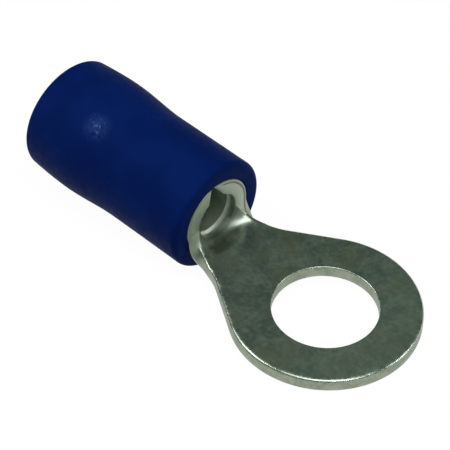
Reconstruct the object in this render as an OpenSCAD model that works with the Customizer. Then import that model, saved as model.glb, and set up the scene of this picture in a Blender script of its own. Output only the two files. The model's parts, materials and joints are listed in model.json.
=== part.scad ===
// Insulated ring terminal for an M5 stud and a 1.5 to 2.5 mm2 wire, in two pieces:
// a terminal stamped and rolled from tinned copper sheet, and the vinyl sleeve pressed over its barrel.
// The origin is the centre of the stud hole on the tongue's underside, +Z is up and the barrel runs
// along -X. A distance s is counted back from the stud hole's centre, so s lies at x = -s.

/* [Ring tongue] */
// Outer diameter of the ring
ring_d = 9.6; // [8.5:0.1:10.5]
// Diameter of the stud hole
stud_d = 5.3; // [4.3:0.1:6.4]
// Thickness of the flattened tongue
tongue_t = 0.7; // [0.5:0.05:0.8]
// Distance from the ring's rear edge to the tongue's waist
waist_gap = 2; // [1.6:0.05:2.6]
// Width of the tongue at its waist
waist_w = 4.1; // [3.4:0.1:4.2]
// Radius of the concave fillet on each side of the waist
waist_r = 3.6; // [2.6:0.1:4.6]

/* [Neck] */
// Distance from the start of the sheet's curl to the waist
curl_lead = 1.0; // [0.8:0.05:1.2]
// Distance from the waist to the barrel's front face
waist_to_face = 0.52; // [0.45:0.01:0.9]
// Radius of the blank's shoulder between the neck and the barrel's front face
shoulder_r = 1.2; // [0.8:0.1:1.2]
// How late the curl tightens, where 1 is evenly
curl_power = 1.5; // [1:0.1:2.5]

/* [Barrel] */
// Diameter of the wire barrel's bore
bore_d = 2.5; // [2.1:0.1:2.8]
// Thickness of the sheet round the barrel
barrel_wall = 0.85; // [0.7:0.05:1]
// Length of the barrel
barrel_len = 4.9; // [4:0.1:6]
// Height of the barrel's axis above the tongue's underside
axis_z = 1.75; // [1.5:0.05:2]
// Angle of the butt seam from the barrel's top, where plus is towards +Y
seam_turn = -9; // [-20:1:20]
// Width of the seam on the outside of the barrel
seam_slit = 0.06; // [0.04:0.01:0.15]
// Angle round the bore by which the sheet's end on the seam's -Y side stands back from it
seam_cut_near = 17; // [2:1:40]
// Angle round the bore by which the sheet's end on the seam's +Y side stands back from it
seam_cut_far = 29; // [2:1:40]
// Number of wire-gripping grooves round the bore
groove_n = 3; // [1:1:3]
// Width of a groove
groove_w = 0.32; // [0.2:0.02:0.5]
// Depth of a groove
groove_depth = 0.15; // [0.05:0.05:0.25]
// Distance from the barrel's front face to the first groove
groove_start = 0.25; // [0.2:0.05:0.6]
// Spacing of the grooves
groove_pitch = 1.3; // [0.8:0.1:1.5]
// Chamfer inside the barrel's rear end, where the wire goes in
wire_chamfer = 0.2; // [0.1:0.05:0.4]

/* [Insulating sleeve] */
// Length of the sleeve
sleeve_len = 10.8; // [10:0.05:12]
// How far the barrel stands out of the sleeve's front face
barrel_proud = 0.03; // [0:0.01:0.5]
// Wall of the straight part round the barrel
grip_wall = 0.92; // [0.6:0.02:1.2]
// Length of the straight part
grip_len = 4.9; // [4:0.1:5.2]
// Height of the swell over the straight part
swell_h = 0.21; // [0.05:0.01:0.4]
// Length over which the sleeve swells to its fullest
swell_len = 3.4; // [2.5:0.1:4]
// Height of the wire end over the straight part
entry_h = 0.08; // [0:0.01:0.2]
// Rounding of the outer edge at the front
front_round = 0.3; // [0.1:0.05:0.5]
// Rounding of the outer edge at the wire end
entry_round = 0.22; // [0.1:0.02:0.4]
// Angle from straight out at which that rounding takes over from the taper before it
entry_round_from = 12; // [5:1:20]
// Bore for the insulated wire
entry_bore_d = 4.6; // [4.5:0.1:4.9]
// Chamfer round the mouth of that bore
entry_chamfer = 0.2; // [0.1:0.05:0.3]
// Length of the cone that leads from that bore to the barrel
funnel_len = 0.8; // [0.4:0.1:1.5]
// Gap between the barrel's rear end and the narrow end of that cone
funnel_gap = 0.05; // [0.01:0.01:0.2]
// Radial clearance round the barrel
seat_gap = 0.02; // [0.01:0.01:0.05]

/* [Hidden] */

$fn = 96;
neck_steps = 14;            // bands along the neck
arc_steps = 14;             // facets across the neck
round_steps = 6;            // facets round an edge of the sleeve
swell_steps = 12;           // facets along the swell, and along the taper behind it
over = 0.05;                // how far a cutter runs past what it cuts
skin_inset = 0.015;         // how far the neck's skins stay inside the barrel's where they join
root_len = 0.08;            // how far the neck reaches into the barrel's wall

ring_r = ring_d / 2;
bore_r = bore_d / 2;
barrel_r = bore_r + barrel_wall;
seat_r = barrel_r + seat_gap;
grip_r = seat_r + grip_wall;
entry_bore_r = entry_bore_d / 2;

waist_s = ring_r + waist_gap;
curl_s = waist_s - curl_lead;
face_s = waist_s + waist_to_face;
barrel_end_s = face_s + barrel_len;
front_s = face_s + barrel_proud;
rear_s = front_s + sleeve_len;

// The straight flank is tangent to the ring and to the fillet beside the waist
fillet_y = waist_w / 2 + waist_r;
flank_a = atan2(fillet_y, -waist_s) + asin((ring_r + waist_r) / norm([waist_s, fillet_y])) - 180;
flank_n = [-sin(flank_a), cos(flank_a)];
ring_touch = ring_r * flank_n;
fillet_touch = [-waist_s, fillet_y] - waist_r * flank_n;

// Neck: each section is an arc of the sheet, curled tighter the nearer it is to the barrel
joint_r = barrel_r - skin_inset;
joint_wall = barrel_wall - 2 * skin_inset;
joint_drop = joint_r - axis_z;

function ease(u) = u * u * (3 - 2 * u);
function mix(a, b, u) = a + (b - a) * u;
function across(p) = [p.x, -p.y];

// How far along the neck s lies, from 0 at the start of the curl to 1 at the barrel
function along(s) = min(1, (s - curl_s) / (face_s - curl_s));
// Half the flat blank's width at s: the waist's fillet, then the shoulder that opens to the barrel
function waist_half(s) = waist_w / 2 + waist_r - sqrt(waist_r ^ 2 - min(0, s - waist_s) ^ 2);
function shoulder(s) =
    let (v = min(1, max(0, 1 - (face_s - s) / shoulder_r))) shoulder_r * (1 - sqrt(1 - v ^ 2));
function blank_half(s) = waist_half(min(s, face_s)) + shoulder(s);
// A point of the section with curvature k: w across the blank and h up from its lower skin
function curled(k, w, h) = k == 0 ? [w, h]
    : let (r = 1 / k, a = w * k * 180 / PI) [(r - h) * sin(a), r - (r - h) * cos(a)];
// One section at s: its lower skin from side to side, then its upper skin back again
function neck_section(s) =
    let (u = along(s), k = u ^ curl_power / joint_r, t = mix(tongue_t, joint_wall, u),
         half = blank_half(s), low = -joint_drop * ease(u))
    [for (h = [0, t]) for (i = [0:arc_steps])
        let (w = half * (2 * i / arc_steps - 1), p = curled(k, h == 0 ? w : -w, h))
        [-s, p.x, low + p.y]];
neck_s = concat([for (i = [0:neck_steps]) mix(curl_s, face_s, sin(90 * i / neck_steps))],
                [face_s + root_len]);

// Where the sheet's cut end meets the bore, at that angle from the seam, and a little way past it
function past_bore(a) =
    let (meets = bore_r * [cos(a), sin(a)], run = meets - [barrel_r, sign(a) * seam_slit / 2])
    meets + over * run / norm(run);

// Sleeve: its outline as a list of [radius, s]
function edge_arc(r, s, radius, a0, a1) =
    [for (i = [0:round_steps])
        let (a = mix(a0, a1, i / round_steps)) [r + radius * cos(a), s + radius * sin(a)]];
grip_end_s = front_s + grip_len;
full_s = grip_end_s + swell_len;
entry_r = grip_r + entry_h;
function swell_r(s) = s < full_s
    ? grip_r + swell_h * ease(max(0, s - grip_end_s) / swell_len)
    : mix(entry_r, grip_r + swell_h, cos(90 * (s - full_s) / (rear_s - full_s)));
sleeve_outside = concat(
    edge_arc(grip_r - front_round, front_s + front_round, front_round, -90, 0),
    [for (i = [0:swell_steps]) let (s = mix(grip_end_s, full_s, i / swell_steps)) [swell_r(s), s]],
    [for (i = [1:swell_steps]) let (s = mix(full_s, rear_s - entry_round, i / swell_steps)) [swell_r(s), s]],
    edge_arc(swell_r(rear_s - entry_round) - entry_round, rear_s - entry_round, entry_round,
             entry_round_from, 90));
sleeve_inside = [
    [entry_bore_r + entry_chamfer, rear_s],
    [entry_bore_r, rear_s - entry_chamfer],
    [entry_bore_r, barrel_end_s + funnel_gap + funnel_len],
    [seat_r, barrel_end_s + funnel_gap],
    [seat_r, front_s]];

// Turns +Z backwards along the barrel's axis, with its +X up
module on_axis() { translate([0, 0, axis_z]) rotate([0, -90, 0]) children(); }

module tongue() {
    difference() {
        linear_extrude(tongue_t) {
            circle(r = ring_r);
            difference() {
                polygon([[0, 0], ring_touch, fillet_touch, [-curl_s, fillet_touch.y],
                         [-curl_s, -fillet_touch.y], across(fillet_touch), across(ring_touch)]);
                for (side = [-1, 1]) translate([-waist_s, side * fillet_y]) circle(r = waist_r);
            }
        }
        translate([0, 0, -over]) cylinder(d = stud_d, h = tongue_t + 2 * over);
    }
}

module neck() {
    n = 2 * (arc_steps + 1);
    last = (len(neck_s) - 1) * n;
    skins = [for (b = [0:len(neck_s) - 2]) for (i = [0:n - 1])
        let (p = b * n + i, q = b * n + (i + 1) % n) each [[p, q, q + n], [p, q + n, p + n]]];
    ends = [for (i = [0:arc_steps - 1]) each [
        [n - 1 - i, n - 2 - i, i + 1, i],
        [last + i, last + i + 1, last + n - 2 - i, last + n - 1 - i]]];
    polyhedron([for (s = neck_s) each neck_section(s)], concat(skins, ends));
}

// The seam is a slit at the barrel's outside, and widens from there to where the sheet's ends meet the bore
module seam() {
    outer = barrel_r + over;
    rotate(seam_turn) translate([0, 0, face_s - over]) linear_extrude(barrel_len + 2 * over)
        polygon([[0, 0], past_bore(-seam_cut_near), [barrel_r, -seam_slit / 2], [outer, -seam_slit / 2],
                 [outer, seam_slit / 2], [barrel_r, seam_slit / 2], past_bore(seam_cut_far)]);
}

module barrel() {
    on_axis() difference() {
        translate([0, 0, face_s]) cylinder(r = barrel_r, h = barrel_len);
        translate([0, 0, face_s - over]) cylinder(r = bore_r, h = barrel_len + 2 * over);
        translate([0, 0, barrel_end_s - wire_chamfer])
            cylinder(r1 = bore_r, r2 = bore_r + wire_chamfer + over, h = wire_chamfer + over);
        for (i = [0:groove_n - 1]) translate([0, 0, face_s + groove_start + i * groove_pitch])
            cylinder(r = bore_r + groove_depth, h = groove_w);
        seam();
    }
}

module terminal() {
    color([0.62, 0.65, 0.6]) {
        tongue();
        neck();
        barrel();
    }
}

module insulating_sleeve() {
    color([0.05, 0.12, 0.42])
        on_axis() rotate_extrude() polygon(concat(sleeve_outside, sleeve_inside));
}

terminal();
insulating_sleeve();
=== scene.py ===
"""Looks of a ring terminal: tinned sheet, stamped flat and then rolled, in a sleeve of blue vinyl.

The sheet is cut as a flat blank with rolled-over edges, and a Geometry Nodes tree rolls it up, as the press
does. Another tree turns the sleeve's profile round the barrel's axis. Sizes are in millimetres until a mesh
is made, and the mesh is in metres.
"""
import json
import math

import bmesh
import bpy
from mathutils import Matrix, Vector
from mathutils.geometry import delaunay_2d_cdt


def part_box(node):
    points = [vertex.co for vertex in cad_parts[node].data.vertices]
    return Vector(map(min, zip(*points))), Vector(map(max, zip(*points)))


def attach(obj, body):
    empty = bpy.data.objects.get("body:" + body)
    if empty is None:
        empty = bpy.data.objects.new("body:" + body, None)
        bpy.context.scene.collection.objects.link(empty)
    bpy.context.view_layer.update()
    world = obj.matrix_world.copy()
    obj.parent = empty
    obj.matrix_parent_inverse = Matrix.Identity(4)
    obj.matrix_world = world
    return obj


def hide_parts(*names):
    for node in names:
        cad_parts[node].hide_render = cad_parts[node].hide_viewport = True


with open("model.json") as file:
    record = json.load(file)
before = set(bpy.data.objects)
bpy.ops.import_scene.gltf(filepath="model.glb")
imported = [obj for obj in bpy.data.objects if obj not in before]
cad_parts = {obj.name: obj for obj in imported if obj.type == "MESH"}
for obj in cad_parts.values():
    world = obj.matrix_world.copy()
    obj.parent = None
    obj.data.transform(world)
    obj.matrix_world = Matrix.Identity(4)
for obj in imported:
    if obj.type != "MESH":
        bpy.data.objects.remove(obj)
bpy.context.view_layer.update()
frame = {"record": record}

MM = 0.001
QUARTER = math.pi / 2

# ---------------------------------------------------------------- sizes, from the frame where it has them
METAL_LOW, METAL_HIGH = (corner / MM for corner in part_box("terminal"))
VINYL_LOW, VINYL_HIGH = (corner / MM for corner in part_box("insulating_sleeve"))
MOUNTS = {mount["name"]: mount for mount in frame["record"]["mounts"]}

RING_R = METAL_HIGH.x
HOLE_R = MOUNTS["stud_hole"]["dims"]["r_mm"]
TONGUE_T = MOUNTS["stud_hole"]["dims"]["length_mm"]
BORE_R = MOUNTS["wire_barrel"]["dims"]["r_mm"]
AXIS_Z = MOUNTS["wire_barrel"]["pos_m"][2] / MM
BARREL_R = AXIS_Z - METAL_LOW.z
BARREL_WALL = BARREL_R - BORE_R
BARREL_END = -METAL_LOW.x
SLEEVE_FRONT = -VINYL_HIGH.x
SLEEVE_REAR = -VINYL_LOW.x
SLEEVE_FULL_R = VINYL_HIGH.y
ENTRY_BORE_R = MOUNTS["insulation_entry"]["dims"]["r_mm"]

# the blank's outline from the ring to the barrel, where s is the distance back from the stud hole's centre
FACE_PROUD = 0.03                       # the barrel's face stands this much out of the sleeve
FACE_S = SLEEVE_FRONT - FACE_PROUD
SHOULDER_R = 1.2
WAIST_TO_FACE = 0.52
WAIST_S = FACE_S - WAIST_TO_FACE
WAIST_HALF = 2.05
WAIST_R = 3.6
CURL_TO_WAIST = 1.0
CURL_S = WAIST_S - CURL_TO_WAIST        # the sheet starts to curl here
CURL_POWER = 1.5                        # above 1, the curl tightens towards the barrel

# the barrel's seam and grooves
SEAM_TURN = math.radians(9)
SEAM_SLIT = 0.06
SEAM_CUTS = (math.radians(29), math.radians(17))    # how far each end of the sheet is cut back inside
SEAM_REACH = math.radians(90)           # arc over which the sheet's ends thin towards the seam
CORNER_R = 0.15
GROOVE_N = 3
GROOVE_W = 0.32
GROOVE_DEPTH = 0.15
GROOVE_INSET = 0.25                     # the first groove starts this far inside the barrel's face
GROOVE_PITCH = 1.3
GROOVE_DRAFT = 0.03                     # the length of a groove's wall on the ring's side
GROOVE_SLOPE = 0.11                     # and on the wire's side
GROOVE_STARTS = [FACE_S + GROOVE_INSET + i * GROOVE_PITCH for i in range(GROOVE_N)]

# the sheet's edges: rolled over on the punch's side, nearly sharp on the die's
ROLL_TONGUE = 0.22
ROLL_FACE = 0.07
ROLL_FADE = SHOULDER_R / 2              # the roll narrows towards the barrel's face over this length
ROLL_WIRE_END = 0.2
ROLL_HOLE = 0.09
ROLL_FLATNESS = 0.6                     # a roll's depth over its width
BURR_R = 0.08
EDGE_STEPS = 4
LAND = 1.5                              # the flat skin starts at this many roll widths
EDGE_BAND = "edge_band"                 # the vertex attribute that tells cut, rounded and flat metal apart
BAND_AT_ROLL_END = 0.1

# how many steps each stretch of the outline is drawn in
RING_STEPS = 60
FLANK_STEPS = 12
NECK_STEPS = 12
SHOULDER_STEPS = 18
FACE_STEPS = 16
CORNER_STEPS = 5
SEAM_STEPS = 24
WIRE_END_STEPS = 30
HOLE_STEPS = 120

# the rows of points inside the outline: sparse where the sheet stays flat, close where it is rolled
FLAT_ROWS = 16
FLAT_PITCH = 0.6
FLAT_END = CURL_S - 1.0
NECK_START = CURL_S - 0.6
NECK_ROWS = 11
BARREL_ROWS = 18
ROLLED_PITCH = 0.2
FLAT_MARGIN = 0.32                      # how far the points stay from the sheet's edge
ROLLED_MARGIN = 0.14
WIRE_END_MARGIN = 0.4
HOLE_MARGIN = 0.35
GROOVE_MARGIN = 0.12                    # and how far a row stays from the grooves' own
FACE_SLACK = 0.01                       # what lies this little ahead of the barrel's face is still its face
SAME_POINT = 1e-6                       # points this near each other are one

# the sleeve
GRIP_R = 3.04
GRIP_LEN = 4.9
SWELL_LEN = 3.4
ENTRY_RISE = 0.08
FRONT_ROUND = 0.3
ENTRY_ROUND = 0.22
ENTRY_SLANT = 12                        # degrees that the outside leans in where the rounding starts
MOUTH_ROUND = 0.06
ENTRY_CHAMFER = 0.2
FUNNEL_LEN = 0.8
FUNNEL_GAP = 0.05
SEAT_GAP = 0.02
SLEEVE_STEPS = 60
SLEEVE_SIDES = 144
SLEEVE_WAVES = 0.03                     # height of the moulded surface's slow waves
WAVES_PER_METRE = 260.0

# the shaped meshes
FLATTEST_CURL = 0.01                    # per metre, as good as flat
SHARP_ANGLE = 35

# tin's colours, of the clean plate and then of what lies over it, painted light and shade among them
TIN_CLOUDS = ((0.40, (0.32, 0.372, 0.338)), (0.60, (0.51, 0.555, 0.485)))
TIN_TORN = ((0.40, (0.24, 0.28, 0.20)), (0.60, (0.345, 0.38, 0.295)))
TIN_TARNISHED = (0.42, 0.43, 0.32)
TIN_SCUFFED = (0.60, 0.67, 0.59)
# painted reflection: the plate is painted lighter towards the ring's tip
TIN_TIP_REFLECTION = (0.66, 0.73, 0.65)
# painted light: the rolled barrel is painted lighter, for light reaching into its bore
TIN_BORE_PAINTED_LIGHT = (0.75, 0.82, 0.70)
# painted shade: dark at the barrel's root
TIN_ROOT_SHADE = (0.10, 0.12, 0.09)
TIN_SHEARED = (0.40, 0.455, 0.37)
# painted shade: a dark line on the barrel's face, inside one side's outer edge
TIN_CREASE_SHADE = (0.08, 0.09, 0.07)
# painted highlight: the first groove's wall
TIN_GROOVE_HIGHLIGHT = (0.85, 0.9, 0.82)
# radius of that painted shade line
CREASE_SHADE_R = BARREL_R - 0.16

# the vinyl's colours, and the one spot where its skin is rubbed shiny, with a painted highlight on it
VINYL_DEEP = (0.0018, 0.0116, 0.098)
VINYL_PALE = (0.0022, 0.0142, 0.119)
# painted highlight: the rubbed spot is painted lighter where it shines
VINYL_SPOT_HIGHLIGHT = (0.022, 0.050, 0.20)
# painted glints: light flecks on small scratch marks in the rubbed spot
VINYL_SCRATCH_GLINTS = (0.09, 0.15, 0.33)
VINYL_SHEEN = (0.2, 0.4, 1.0)
# the rubbed spot, which is smoother and also carries a painted highlight
RUBBED_AND_HIGHLIT_SPOT = Vector((-14.2, -1.71, 4.47))

# the camera, its place from the aim in millimetres and degrees
CAMERA_ANGLES = (43.25, 45.26)
CAMERA_DISTANCE = 104.51
CAMERA_AIM = Vector((-5.410, -1.486, 3.539))
CAMERA_ROLL = 1.14
CAMERA_LENS = 172.28
CAMERA_SENSOR = 36.0
CAMERA_CLIP = 5.0

# the studio
FLOOR_HALF = 2000
FLOOR_GREY = (0.35, 0.35, 0.35)
FLOOR_WHITE = 0.88                      # how much of the floor that is seen or mirrored is plain white
FLOOR_GLOW = 1.1                        # that white's strength, which makes up for the grey mixed with it
ROOM_COLOUR = (0.109, 0.144, 0.118)
WHITE = (1.0, 1.0, 1.0)
LIT_PLACE = Vector((-6.0, 0.0, 1.5))    # what the lamps are turned to


def mix(a, b, share):
    return a + (b - a) * share


def clamp01(value):
    return min(1.0, max(0.0, value))


def ease(value):
    value = clamp01(value)
    return value * value * (3 - 2 * value)


def steps(start, end, count):
    """count + 1 values from start to end."""
    return [mix(start, end, i / count) for i in range(count + 1)]


def put(name, data):
    """A new object in the scene."""
    obj = bpy.data.objects.new(name, data)
    bpy.context.collection.objects.link(obj)
    return obj


# ---------------------------------------------------------------- node trees written as expressions
class Wire:
    """An output socket. Arithmetic on it adds Math nodes to its tree."""

    def __init__(self, tree, socket):
        self.tree = tree
        self.socket = socket

    def math(self, operation, *operands):
        return add(self.tree, "ShaderNodeMath", {"operation": operation}, dict(enumerate(operands)))

    def __add__(self, other):
        return self.math("ADD", self, other)

    def __sub__(self, other):
        return self.math("SUBTRACT", self, other)

    def __mul__(self, other):
        return self.math("MULTIPLY", self, other)

    def __truediv__(self, other):
        return self.math("DIVIDE", self, other)

    def __pow__(self, other):
        return self.math("POWER", self, other)

    def __rsub__(self, other):
        return self.math("SUBTRACT", other, self)

    def __rtruediv__(self, other):
        return self.math("DIVIDE", other, self)

    def __neg__(self):
        return self * -1

    __radd__ = __add__
    __rmul__ = __mul__

    def least(self, other):
        return self.math("MINIMUM", self, other)

    def most(self, other):
        return self.math("MAXIMUM", self, other)

    def sine(self):
        return self.math("SINE", self)

    def cosine(self):
        return self.math("COSINE", self)

    def size(self):
        return self.math("ABSOLUTE", self)

    def ramp(self, start, end, low=0.0, high=1.0):
        """low below start, high above end, and smooth between."""
        return add(
            self.tree, "ShaderNodeMapRange", {"interpolation_type": "SMOOTHSTEP"},
            {"Value": self, "From Min": start, "From Max": end, "To Min": low, "To Max": high})

    def peak(self, middle, reach):
        """1 at middle, falling evenly to 0 at reach on both sides of it."""
        return (1 - (self - middle).size() / reach).most(0)

    def stripe(self, middle, full, gone):
        """1 within full of middle, 0 past gone, and smooth between."""
        return (self - middle).size().ramp(full, gone, 1.0, 0.0)


def add(tree, kind, settings=None, inputs=None, output=0):
    """Adds a node, with its settings first and then its sockets' values or links. Gives one output."""
    node = tree.nodes.new(kind)
    for name, value in (settings or {}).items():
        if name == "ramp":
            while len(node.color_ramp.elements) < len(value):
                node.color_ramp.elements.new(1.0)
            for stop, (place, colour) in zip(node.color_ramp.elements, value):
                stop.position = place
                stop.color = (*colour, 1.0)
        else:
            setattr(node, name, value)
    for name, value in (inputs or {}).items():
        socket = node.inputs[name]
        if isinstance(value, Wire):
            tree.links.new(value.socket, socket)
        elif isinstance(value, (tuple, list)) and socket.type == "RGBA":
            socket.default_value = (*value, 1.0)
        else:
            socket.default_value = value
    return Wire(tree, node.outputs[output]) if node.outputs else None


def vector(tree, x, y, z):
    return add(tree, "ShaderNodeCombineXYZ", inputs={"X": x, "Y": y, "Z": z})


def parts(tree, place):
    """A vector's x, y and z."""
    return [add(tree, "ShaderNodeSeparateXYZ", inputs={"Vector": place}, output=axis) for axis in "XYZ"]


# ---------------------------------------------------------------- the flat blank, x forward, w to the left
def half_width(s):
    """Half the blank's width at s, behind the ring's flank: the waist's fillet, and then the shoulder."""
    fillet = WAIST_HALF + WAIST_R - math.sqrt(WAIST_R**2 - min(0.0, s - WAIST_S) ** 2)
    rise = clamp01(1 - (FACE_S - s) / SHOULDER_R)
    return fillet + SHOULDER_R * (1 - math.sqrt(1 - rise**2))


def flank_normal():
    """Across the straight flank, which is tangent to the ring and to the waist's fillet."""
    fillet_w = WAIST_HALF + WAIST_R
    lean = math.asin((RING_R + WAIST_R) / math.hypot(WAIST_S, fillet_w))
    turn = math.atan2(fillet_w, -WAIST_S) + lean - math.pi
    return Vector((-math.sin(turn), math.cos(turn)))


def flank_ends():
    """Where the straight flank leaves the ring, and where it meets the waist's fillet."""
    normal = flank_normal()
    return RING_R * normal, Vector((-WAIST_S, WAIST_HALF + WAIST_R)) - WAIST_R * normal


def blank_side(reach):
    """One side's outline, from the ring's tip to the middle of the wire end.

    reach is how far the barrel's sheet goes from the middle line on that side.
    """
    ring_end, fillet_end = flank_ends()
    inner = reach - CORNER_R
    tip_to_flank = steps(0, math.atan2(ring_end.y, ring_end.x), RING_STEPS)
    ring = [RING_R * Vector((math.cos(a), math.sin(a))) for a in tip_to_flank]
    flank = [ring_end.lerp(fillet_end, share) for share in steps(0, 1, FLANK_STEPS)[1:-1]]
    stations = steps(-fillet_end.x, FACE_S - SHOULDER_R, NECK_STEPS)
    stations += [FACE_S - SHOULDER_R * (1 - math.sin(a)) for a in steps(0, QUARTER, SHOULDER_STEPS)[1:]]
    neck = [Vector((-s, half_width(s))) for s in stations]
    face = [Vector((-FACE_S, w)) for w in steps(neck[-1].y, inner, FACE_STEPS)[1:-1]]
    face_corner = [
        Vector((-FACE_S - CORNER_R * (1 - math.cos(a)), inner + CORNER_R * math.sin(a)))
        for a in steps(0, QUARTER, CORNER_STEPS)]
    seam = [Vector((-s, reach)) for s in steps(FACE_S + CORNER_R, BARREL_END - CORNER_R, SEAM_STEPS)[1:-1]]
    wire_corner = [
        Vector((-BARREL_END + CORNER_R * (1 - math.sin(a)), inner + CORNER_R * math.cos(a)))
        for a in steps(0, QUARTER, CORNER_STEPS)]
    wire_end = [Vector((-BARREL_END, w)) for w in steps(inner, 0, WIRE_END_STEPS)[1:]]
    return ring + flank + neck + face + face_corner + seam + wire_corner + wire_end


def inset(outline, widths):
    """A closed outline moved inwards, to its left, by each point's own width."""
    moved = []
    for i, point in enumerate(outline):
        before = (point - outline[i - 1]).normalized()
        after = (outline[(i + 1) % len(outline)] - point).normalized()
        left_before = Vector((-before.y, before.x))
        left_after = Vector((-after.y, after.x))
        moved.append(point + widths[i] * (left_before + left_after) / (1 + left_before.dot(left_after)))
    return moved


def roll_width(point):
    """How wide the edge is rolled over at a point of the outline."""
    s = -point.x
    to_face = ease((s - FACE_S + ROLL_FADE) / ROLL_FADE)
    to_wire_end = ease((s - BARREL_END + 2 * CORNER_R) / CORNER_R)
    return mix(mix(ROLL_TONGUE, ROLL_FACE, to_face), ROLL_WIRE_END, to_wire_end)


def edge_loops(outline, rolls):
    """The loops from the die's side round the cut edge to the punch's side.

    Each is an outline, its heights and its band, which is 1 on the cut wall, falls over the rounded edges,
    and is 0 where the faces start.
    """
    burr = [BURR_R] * len(outline)
    loops = [([LAND * b for b in burr], [0.0] * len(outline), 0.0)]
    for share in steps(0, 1, EDGE_STEPS):
        a = share * QUARTER
        loops.append(([b * (1 - math.sin(a)) for b in burr], [b * (1 - math.cos(a)) for b in burr], share))
    for share in steps(0, 1, EDGE_STEPS):
        a = share * QUARTER
        heights = [TONGUE_T - r * ROLL_FLATNESS * (1 - math.sin(a)) for r in rolls]
        loops.append(([r * (1 - math.cos(a)) for r in rolls], heights, mix(1, BAND_AT_ROLL_END, share)))
    loops.append(([LAND * r for r in rolls], [TONGUE_T] * len(outline), 0.0))
    return [(inset(outline, widths), heights, band) for widths, heights, band in loops]


def groove_height(x):
    """The punch's side lies lower in the grooves that grip the wire."""
    for start in GROOVE_STARTS:
        if start + GROOVE_DRAFT / 2 < -x < start + GROOVE_W - GROOVE_SLOPE / 2:
            return TONGUE_T * (1 - GROOVE_DEPTH / BARREL_WALL)
    return TONGUE_T


def inner_rows():
    """The rows of points across the blank, with their pitch. One follows each edge of a groove's walls."""
    rows = [(s, FLAT_PITCH) for s in steps(FLAT_PITCH - RING_R, FLAT_END, FLAT_ROWS)]
    rows += [(s, ROLLED_PITCH) for s in steps(NECK_START, FACE_S, NECK_ROWS)]
    wall_edges = (0, GROOVE_DRAFT, GROOVE_W - GROOVE_SLOPE, GROOVE_W)
    lines = [start + edge for start in GROOVE_STARTS for edge in wall_edges]
    between = [
        s for s in steps(FACE_S + ROLLED_MARGIN, BARREL_END - WIRE_END_MARGIN, BARREL_ROWS)
        if min(abs(s - line) for line in lines) > GROOVE_MARGIN]
    return rows + [(s, ROLLED_PITCH) for s in sorted(lines + between)]


def inner_points(reaches):
    """Points inside the blank, which keep its faces' triangles small where it is rolled."""
    normal = flank_normal()
    ring_end, fillet_end = flank_ends()
    points = []
    for s, pitch in inner_rows():
        if s < -ring_end.x:
            halves = [math.sqrt(RING_R**2 - s**2)] * 2
        elif s < -fillet_end.x:
            halves = [(RING_R + s * normal.x) / normal.y] * 2
        elif s <= FACE_S:
            halves = [half_width(s - ROLLED_MARGIN)] * 2
        else:
            halves = reaches
        margin = FLAT_MARGIN if s < FACE_S else ROLLED_MARGIN
        left, right = (half - margin for half in halves)
        count = max(1, round((left + right) / pitch))
        for w in steps(-right, left, count):
            if math.hypot(s, w) > HOLE_R + HOLE_MARGIN:
                points.append(Vector((-s, w)))
    return points


def skin(outline, hole, inside):
    """Triangles over the blank's face, whose corners count through outline, hole and inside in turn."""
    rim = [(i, (i + 1) % len(outline)) for i in range(len(outline))]
    rim += [(len(outline) + i, len(outline) + (i + 1) % len(hole)) for i in range(len(hole))]
    points, _, faces, origins, _, _ = delaunay_2d_cdt(outline + hole + inside, rim, [], 1, SAME_POINT)
    hole_corners = set(range(len(outline), len(outline) + len(hole)))
    kept = []
    for face in faces:
        corners = [origins[i][0] for i in face]
        if not hole_corners.issuperset(corners):
            a, b, c = (points[i] for i in face)
            kept.append(corners if (b - a).cross(c - a) > 0 else corners[::-1])
    return kept


def scarf(x, w, height, reaches):
    """A point's w once the sheet's ends are cut back on the punch's side, to stand apart in the barrel."""
    if -x < FACE_S - FACE_SLACK:
        return w
    side = 0 if w > 0 else 1
    lost = SEAM_CUTS[side] - SEAM_SLIT / 2 / BARREL_R
    near = ease(1 - (reaches[side] - abs(w)) / (SEAM_REACH * BARREL_R))
    return w - math.copysign(lost * BARREL_R * near * height / TONGUE_T, w)


def blank_mesh():
    """The whole blank as a closed mesh: the cut edges as strips, and the two faces between them."""
    reaches = [BARREL_R * (math.pi + turn) - SEAM_SLIT / 2 for turn in (SEAM_TURN, -SEAM_TURN)]
    left, right = (blank_side(reach) for reach in reaches)
    outline = left + [Vector((p.x, -p.y)) for p in reversed(right[1:-1])]
    hole = [HOLE_R * Vector((math.cos(a), -math.sin(a))) for a in steps(0, 2 * math.pi, HOLE_STEPS)[:-1]]
    strips = [
        edge_loops(outline, [roll_width(p) for p in outline]),
        edge_loops(hole, [ROLL_HOLE] * len(hole))]
    inside = inner_points(reaches)
    mesh = bmesh.new()
    edge_band = mesh.verts.layers.float.new(EDGE_BAND)

    def place(point, height, band=0.0):
        corner = mesh.verts.new(Vector((point.x, scarf(point.x, point.y, height, reaches), height)) * MM)
        corner[edge_band] = band
        return corner

    rings = [
        [[place(p, h, band) for p, h in zip(loop, heights)] for loop, heights, band in strip]
        for strip in strips]
    for strip in rings:
        for low, high in zip(strip, strip[1:]):
            for i in range(len(low)):
                j = (i + 1) % len(low)
                mesh.faces.new((low[i], low[j], high[j], high[i]))
    for side, height in ((0, lambda x: 0.0), (-1, groove_height)):      # the die's side, then the punch's
        corners = rings[0][side] + rings[1][side] + [place(p, height(p.x)) for p in inside]
        for face in skin(strips[0][side][0], strips[1][side][0], inside):
            mesh.faces.new([corners[i] for i in (face if side else reversed(face))])
    bmesh.ops.delete(mesh, geom=[v for v in mesh.verts if not v.link_faces], context="VERTS")
    return mesh


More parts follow.
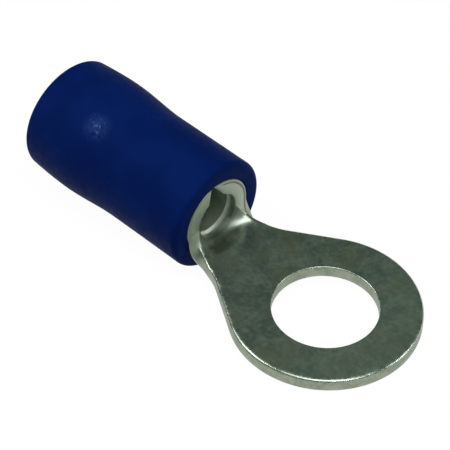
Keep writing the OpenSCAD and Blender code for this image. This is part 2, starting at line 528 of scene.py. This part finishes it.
# ---------------------------------------------------------------- Geometry Nodes
def geometry_tree(name, labels):
    """A tree with named number inputs, and the wires of all its inputs by name."""
    tree = bpy.data.node_groups.new(name, "GeometryNodeTree")
    tree.interface.new_socket("Geometry", in_out="INPUT", socket_type="NodeSocketGeometry")
    for label in labels:
        kind = "NodeSocketInt" if label == "Sides" else "NodeSocketFloat"
        tree.interface.new_socket(label, in_out="INPUT", socket_type=kind)
    tree.interface.new_socket("Material", in_out="INPUT", socket_type="NodeSocketMaterial")
    tree.interface.new_socket("Geometry", in_out="OUTPUT", socket_type="NodeSocketGeometry")
    given = tree.nodes.new("NodeGroupInput")
    return tree, {socket.name: Wire(tree, socket) for socket in given.outputs if socket.name}


def close_tree(tree, geometry, given):
    """Ends a tree with its geometry made real and given its material."""
    real = add(tree, "GeometryNodeRealizeInstances", inputs={"Geometry": geometry})
    painted = add(tree, "GeometryNodeSetMaterial", inputs={"Geometry": real, "Material": given["Material"]})
    add(tree, "NodeGroupOutput", inputs={"Geometry": painted})


def rolling_tree():
    """Rolls the blank up. The curl tightens along the neck, from the tongue to the barrel's face."""
    tree, given = geometry_tree("roll_blank", [
        "Curl start", "Barrel face", "Curl power", "Barrel radius", "Axis height", "Tongue sheet",
        "Barrel sheet"])
    x, across, height = parts(tree, add(tree, "GeometryNodeInputPosition"))
    along = (-x - given["Curl start"]) / (given["Barrel face"] - given["Curl start"])
    along = along.most(0).least(1)
    curl = ((along ** given["Curl power"]) / given["Barrel radius"]).most(FLATTEST_CURL)
    sheet = given["Tongue sheet"] + along * (given["Barrel sheet"] - given["Tongue sheet"])
    height = height * sheet / given["Tongue sheet"]
    drop = (given["Barrel radius"] - given["Axis height"]) * along * along * (3 - 2 * along)
    angle = across * curl
    half_sine = (angle / 2).sine()
    side = angle.sine() * (1 / curl - height)
    lift = 2 * half_sine * half_sine / curl + height * angle.cosine() - drop
    rolled = add(tree, "GeometryNodeSetPosition", inputs={
        "Geometry": given["Geometry"], "Position": vector(tree, x, side, lift)})
    close_tree(tree, rolled, given)
    return tree


def turning_tree():
    """Turns a closed profile, with x along the axis and z its radius, round the barrel's axis."""
    tree, given = geometry_tree("turn_profile", ["Sides", "Axis height", "Unevenness"])
    count = add(
        tree, "GeometryNodeAttributeDomainSize", {"component": "MESH"}, {"Geometry": given["Geometry"]})
    grid = add(tree, "GeometryNodeMeshGrid", inputs={"Vertices X": given["Sides"] + 1, "Vertices Y": count})
    index = add(tree, "GeometryNodeInputIndex")
    turn = (index / count).math("FLOOR", index / count) / given["Sides"] * (2 * math.pi)
    profile_point = add(
        tree, "GeometryNodeSampleIndex", {"data_type": "FLOAT_VECTOR"},
        {"Geometry": given["Geometry"], "Value": add(tree, "GeometryNodeInputPosition"),
         "Index": index.math("FLOORED_MODULO", index, count)})
    x, _, radius = parts(tree, profile_point)
    even_place = vector(tree, x, turn.sine() * radius, turn.cosine() * radius)
    waves = add(tree, "ShaderNodeTexNoise", inputs={
        "Vector": even_place, "Scale": WAVES_PER_METRE, "Detail": 1.0})
    radius = radius + (waves - 0.5) * given["Unevenness"]
    place = vector(tree, x, turn.sine() * radius, turn.cosine() * radius + given["Axis height"])
    turned = add(tree, "GeometryNodeSetPosition", inputs={"Geometry": grid, "Position": place})
    joined = add(tree, "GeometryNodeMergeByDistance", inputs={"Geometry": turned, "Distance": SAME_POINT})
    close_tree(tree, joined, given)
    return tree


def shaped(name, mesh, tree, sizes, material):
    """Runs a tree on a mesh and gives the piece it makes, as a plain mesh."""
    carrier = put(name + "_carrier", mesh)
    modifier = carrier.modifiers.new(tree.name, "NODES")
    modifier.node_group = tree
    sockets = {item.name: item.identifier for item in tree.interface.items_tree if item.in_out == "INPUT"}
    for label, value in {**sizes, "Material": material}.items():
        modifier[sockets[label]] = value
    bpy.context.view_layer.update()
    made = bpy.data.meshes.new_from_object(carrier.evaluated_get(bpy.context.evaluated_depsgraph_get()))
    bpy.data.objects.remove(carrier)
    work = bmesh.new()
    work.from_mesh(made)
    bmesh.ops.recalc_face_normals(work, faces=work.faces)
    work.to_mesh(made)
    work.free()
    made.shade_smooth()
    made.set_sharp_from_angle(angle=math.radians(SHARP_ANGLE))
    made.name = name
    return put(name, made)


def as_mesh(name, work):
    """Ends the work on a bmesh."""
    mesh = bpy.data.meshes.new(name)
    work.to_mesh(mesh)
    work.free()
    return mesh


# ---------------------------------------------------------------- the sleeve's profile, as (s, radius)
def arc(s, radius, size, start, end, count=8):
    """Points on an arc of radius size about (s, radius). Its angles, in degrees, count from straight out."""
    angles = [math.radians(a) for a in steps(start, end, count)]
    return [(s + size * math.sin(a), radius + size * math.cos(a)) for a in angles]


def sleeve_radius(s):
    """The outside: even over the grip, swelling to its fullest, and drawing in a little to the entry."""
    grip_end = SLEEVE_FRONT + GRIP_LEN
    fullest = grip_end + SWELL_LEN
    if s < fullest:
        return mix(GRIP_R, SLEEVE_FULL_R, ease((s - grip_end) / SWELL_LEN))
    fall = (s - fullest) / (SLEEVE_REAR - fullest)
    return mix(GRIP_R + ENTRY_RISE, SLEEVE_FULL_R, math.cos(fall * QUARTER))


def sleeve_profile():
    """From the front's outer edge back along the outside, and forward again through the entry."""
    front = SLEEVE_FRONT + FRONT_ROUND
    back = SLEEVE_REAR - ENTRY_ROUND
    seat_r = BARREL_R + SEAT_GAP
    funnel_s = BARREL_END + FUNNEL_GAP
    outside = arc(front, GRIP_R - FRONT_ROUND, FRONT_ROUND, -90, 0, 10)
    outside += [(s, sleeve_radius(s)) for s in steps(front, back, SLEEVE_STEPS)[1:]]
    outside += arc(back, sleeve_radius(back) - ENTRY_ROUND, ENTRY_ROUND, ENTRY_SLANT, 90)
    chamfer = [(SLEEVE_REAR, ENTRY_BORE_R + ENTRY_CHAMFER), (SLEEVE_REAR - ENTRY_CHAMFER, ENTRY_BORE_R)]
    funnel = [(funnel_s + FUNNEL_LEN, ENTRY_BORE_R), (funnel_s, seat_r)]
    mouth = arc(SLEEVE_FRONT + MOUTH_ROUND, seat_r + MOUTH_ROUND, MOUTH_ROUND, 180, 270, 4)
    return outside + chamfer + funnel + mouth


def profile_mesh():
    """The profile as a closed wire: its last point repeats the first."""
    work = bmesh.new()
    points = sleeve_profile()
    knots = [work.verts.new(Vector((-s, 0, radius)) * MM) for s, radius in points + points[:1]]
    for before, after in zip(knots, knots[1:]):
        work.edges.new((before, after))
    return as_mesh("sleeve_profile", work)


# ---------------------------------------------------------------- finishes
def new_material(name):
    material = bpy.data.materials.new(name)
    material.use_nodes = True
    material.node_tree.nodes.clear()
    return material, material.node_tree


def noise(tree, place, size, detail=2.0, roughness=0.5, **more):
    """Noise whose features are about size millimetres across."""
    return add(tree, "ShaderNodeTexNoise", inputs={
        "Vector": place, "Scale": 1 / (size * MM), "Detail": detail, "Roughness": roughness, **more})


def colours(tree, factor, stops):
    return add(tree, "ShaderNodeValToRGB", {"ramp": stops}, {"Fac": factor})


def mixed(tree, factor, first, second):
    return add(tree, "ShaderNodeMix", {"data_type": "RGBA"}, {0: factor, 6: first, 7: second}, output=2)


def layered(tree, colour, *coats):
    """A colour with coats over it. Each is a mask and a colour."""
    for mask, coat in coats:
        colour = mixed(tree, mask, colour, coat)
    return colour


def bumps(tree, strength, depth, height):
    inputs = {"Strength": strength, "Distance": depth * MM, "Height": height}
    return add(tree, "ShaderNodeBump", inputs=inputs)


def finish_surface(tree, **sockets):
    """Closes a material. A socket's name has _ in place of a space."""
    inputs = {name.replace("_", " "): value for name, value in sockets.items()}
    shader = add(tree, "ShaderNodeBsdfPrincipled", inputs=inputs)
    add(tree, "ShaderNodeOutputMaterial", inputs={"Surface": shader})


def tin_plate():
    """Dull tin with clouded patches, tarnish, a fine grain and thin scuffs, and a painted reflection that
    makes it a little lighter towards the ring's tip.

    Rounded edges are burnished, and cut ones torn and matt. The rolled barrel is painted lighter, as painted
    light in its bore, and dark at its root as painted shade. Its face is sheared clean, with a dark line of
    painted shade inside one side's outer edge, and the wall of its first groove carries a painted highlight.
    """
    material, tree = new_material("tin_plate")
    place = add(tree, "ShaderNodeTexCoord", output="Object")
    band = add(tree, "ShaderNodeAttribute", {"attribute_name": EDGE_BAND}, output="Fac")
    x, y, z = (part / MM for part in parts(tree, place))
    s = -x
    from_axis = (y * y + (z - AXIS_Z) * (z - AXIS_Z)) ** 0.5

    cut = band.ramp(0.75, 0.95)
    uncut = 1 - cut
    rounded = band.peak(0.45, 0.4)
    barrel = s.ramp(FACE_S - 0.6, FACE_S - 0.1)
    # where painted shade darkens the barrel's root
    root = s.peak(FACE_S - 0.05, 0.45)
    # the painted shade line on the barrel's face
    crease_shade = from_axis.stripe(CREASE_SHADE_R, 0.03, 0.08) * y.ramp(0.1, 0.5)
    # where the painted highlight lies on the first groove's wall
    groove_highlight = s.stripe(GROOVE_STARTS[0] + GROOVE_W - GROOVE_SLOPE / 2, 0.04, 0.10)

    cloud = noise(tree, place, 0.9, 3.0, 0.6)
    grain = noise(tree, place, 0.22, 3.0, 0.6)
    fine = noise(tree, place, 0.06, 2.0)
    tarnish = noise(tree, place, 1.2, 3.0).ramp(0.50, 0.64)
    scuffs = noise(tree, place, 0.7, 3.0, 0.55, Distortion=1.5).peak(0.5, 1 / 30)
    scuffs = scuffs * noise(tree, place, 1.1).ramp(0.42, 0.55)
    dull = noise(tree, place, 0.45, 2.0).ramp(0.42, 0.55)

    mottle = cloud * 0.6 + grain * 0.4
    colour = layered(
        tree, colours(tree, mottle, TIN_CLOUDS),
        (tarnish * 0.7, TIN_TARNISHED),
        (scuffs * 0.3, TIN_SCUFFED),
        # painted reflection: lighter towards the ring's tip
        (x.ramp(-1.0, 3.0) * uncut * 0.3, TIN_TIP_REFLECTION),
        (cut * 0.85, colours(tree, mottle, TIN_TORN)),
        # painted light inside the barrel's bore
        (barrel * uncut * 0.5, TIN_BORE_PAINTED_LIGHT),
        # painted shade at the barrel's root
        (root * uncut * 0.75, TIN_ROOT_SHADE),
        (cut * barrel, TIN_SHEARED),
        # painted shade: dark line on the barrel's face
        (cut * barrel * crease_shade * 0.8, TIN_CREASE_SHADE),
        # painted highlight on the first groove's wall
        (groove_highlight * 0.8, TIN_GROOVE_HIGHLIGHT))
    roughness = 0.28 + cloud.ramp(0.3, 0.7) * 0.03 + grain.ramp(0.35, 0.7) * 0.03
    roughness = roughness + cut * 0.18 + barrel * uncut * 0.2 + rounded * (dull * 0.12 - 0.08)
    height = grain * (0.5 + rounded * 0.7) + fine * 0.3 - scuffs * 0.2
    finish_surface(
        tree, Base_Color=colour, Metallic=1.0, Roughness=roughness, Normal=bumps(tree, 0.5, 0.02, height))
    return material


def blue_vinyl():
    """Moulded vinyl, deep blue and matt. One rubbed spot on the swell shines, and has a painted highlight
    and painted glints on small scratch marks.
    """
    material, tree = new_material("blue_vinyl")
    place = add(tree, "ShaderNodeTexCoord", output="Object")
    flow = noise(tree, place, 2.5, 2.0, 0.5)
    skin_grain = noise(tree, place, 0.35, 3.0, 0.55)
    from_spot = add(
        tree, "ShaderNodeVectorMath", {"operation": "DISTANCE"}, {0: place, 1: RUBBED_AND_HIGHLIT_SPOT * MM},
        output="Value")
    # the rubbed spot: lower roughness, and a painted highlight in its colour
    spot = (from_spot / MM + (skin_grain - 0.5) * 0.8).ramp(0.15, 1.0, 1.0, 0.0)
    # where the painted glints fall
    scratch_glints = noise(tree, place, 0.22, 1.0, 0.5, Distortion=1.2).ramp(0.56, 0.68)
    colour = layered(
        tree, VINYL_DEEP,
        (flow.ramp(0.35, 0.65), VINYL_PALE),
        # painted highlight on the rubbed spot
        (spot * skin_grain.ramp(0.3, 0.65) * 0.8, VINYL_SPOT_HIGHLIGHT),
        # painted glints in the rubbed spot
        (scratch_glints * spot * spot * 0.5, VINYL_SCRATCH_GLINTS))
    roughness = 0.58 + skin_grain.ramp(0.3, 0.7) * 0.1 - spot * 0.22
    finish_surface(
        tree, Base_Color=colour, Roughness=roughness, Normal=bumps(tree, 0.3, 0.03, skin_grain),
        Specular_IOR_Level=0.05, Specular_Tint=VINYL_SHEEN)
    return material


def pale_floor():
    """Mostly plain white where it is seen or mirrored, with enough of the lit floor to keep the shadow."""
    material, tree = new_material("pale_floor")
    rays = ("Is Camera Ray", "Is Glossy Ray", "Is Transmission Ray")
    seen, mirrored, through = (add(tree, "ShaderNodeLightPath", output=ray) for ray in rays)
    lit = add(tree, "ShaderNodeBsdfDiffuse", inputs={"Color": FLOOR_GREY})
    white = add(tree, "ShaderNodeEmission", inputs={"Color": WHITE, "Strength": FLOOR_GLOW})
    share = seen.most(mirrored).most(through) * FLOOR_WHITE
    both = add(tree, "ShaderNodeMixShader", inputs={0: share, 1: lit, 2: white})
    add(tree, "ShaderNodeOutputMaterial", inputs={"Surface": both})
    return material


# ---------------------------------------------------------------- the pieces
def make_terminal():
    piece = shaped("rolled_terminal", as_mesh("terminal_blank", blank_mesh()), rolling_tree(), {
        "Curl start": CURL_S * MM, "Barrel face": FACE_S * MM, "Curl power": CURL_POWER,
        "Barrel radius": BARREL_R * MM, "Axis height": AXIS_Z * MM,
        "Tongue sheet": TONGUE_T * MM, "Barrel sheet": BARREL_WALL * MM}, tin_plate())
    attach(piece, "root")
    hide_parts("terminal")


def make_sleeve():
    piece = shaped("moulded_sleeve", profile_mesh(), turning_tree(), {
        "Sides": SLEEVE_SIDES, "Axis height": AXIS_Z * MM, "Unevenness": SLEEVE_WAVES * MM}, blue_vinyl())
    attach(piece, "root")
    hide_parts("insulating_sleeve")


# ---------------------------------------------------------------- the stage
def direction(azimuth, elevation):
    """Unit vector towards a place round the object. Azimuth 0 is on the -Y side and 90 on the +X side."""
    a, e = math.radians(azimuth), math.radians(elevation)
    return Vector((math.sin(a) * math.cos(e), -math.cos(a) * math.cos(e), math.sin(e)))


def look(obj, location, towards, roll=0.0):
    """Turns a camera or a lamp at location towards a place."""
    turn = (towards - location).to_track_quat("-Z", "Y").to_matrix().to_4x4()
    obj.matrix_world = Matrix.Translation(location) @ turn @ Matrix.Rotation(math.radians(roll), 4, "Z")


def make_camera():
    data = bpy.data.cameras.new("camera")
    data.sensor_width = CAMERA_SENSOR
    data.lens = CAMERA_LENS
    data.clip_start = CAMERA_CLIP * MM
    camera = put("camera", data)
    location = CAMERA_AIM + CAMERA_DISTANCE * direction(*CAMERA_ANGLES)
    look(camera, location * MM, CAMERA_AIM * MM, CAMERA_ROLL)
    bpy.context.scene.camera = camera


def lamp(name, azimuth, elevation, distance, size, power, colour):
    """A square soft light of that size, in millimetres, turned towards the object."""
    data = bpy.data.lights.new(name, "AREA")
    data.size = size * MM
    data.energy = power
    data.color = colour
    look(put(name, data), (LIT_PLACE + distance * direction(azimuth, elevation)) * MM, LIT_PLACE * MM)


def make_floor():
    """The part rests on the tip of its ring and on the front rim of its sleeve."""
    tip = Vector((RING_R, 0, 0))
    rim = Vector((-SLEEVE_FRONT - FRONT_ROUND, 0, AXIS_Z - GRIP_R))
    along = (tip - rim).normalized()
    across = Vector((0, 1, 0))
    centre = (tip + rim) / 2
    signs = ((-1, -1), (1, -1), (1, 1), (-1, 1))
    corners = [(centre + FLOOR_HALF * (a * along + b * across)) * MM for a, b in signs]
    mesh = bpy.data.meshes.new("floor")
    mesh.from_pydata(corners, [], [(0, 1, 2, 3)])
    mesh.materials.append(pale_floor())
    put("floor", mesh)


def make_world():
    """A dim room, plain white where the camera sees it past the floor."""
    world = bpy.data.worlds.new("studio")
    world.use_nodes = True
    tree = world.node_tree
    tree.nodes.clear()
    seen = add(tree, "ShaderNodeLightPath", output="Is Camera Ray")
    colour = mixed(tree, seen, ROOM_COLOUR, WHITE)
    room = add(tree, "ShaderNodeBackground", inputs={"Color": colour, "Strength": 1.0})
    add(tree, "ShaderNodeOutputWorld", inputs={"Surface": room})
    bpy.context.scene.world = world


bpy.context.scene.view_settings.view_transform = "Standard"
make_camera()
make_terminal()
make_sleeve()
make_floor()
make_world()
lamp("top", 45, 70, 160, 90, 0.09, (0.95, 1.0, 0.99))
lamp("key", -53, 47, 160, 70, 0.09, (0.95, 1.0, 0.97))
lamp("fill", 72, 50, 200, 25, 0.04, (0.97, 1.0, 0.96))
lamp("back", 130, 30, 200, 60, 0.07, (0.97, 1.0, 0.96))
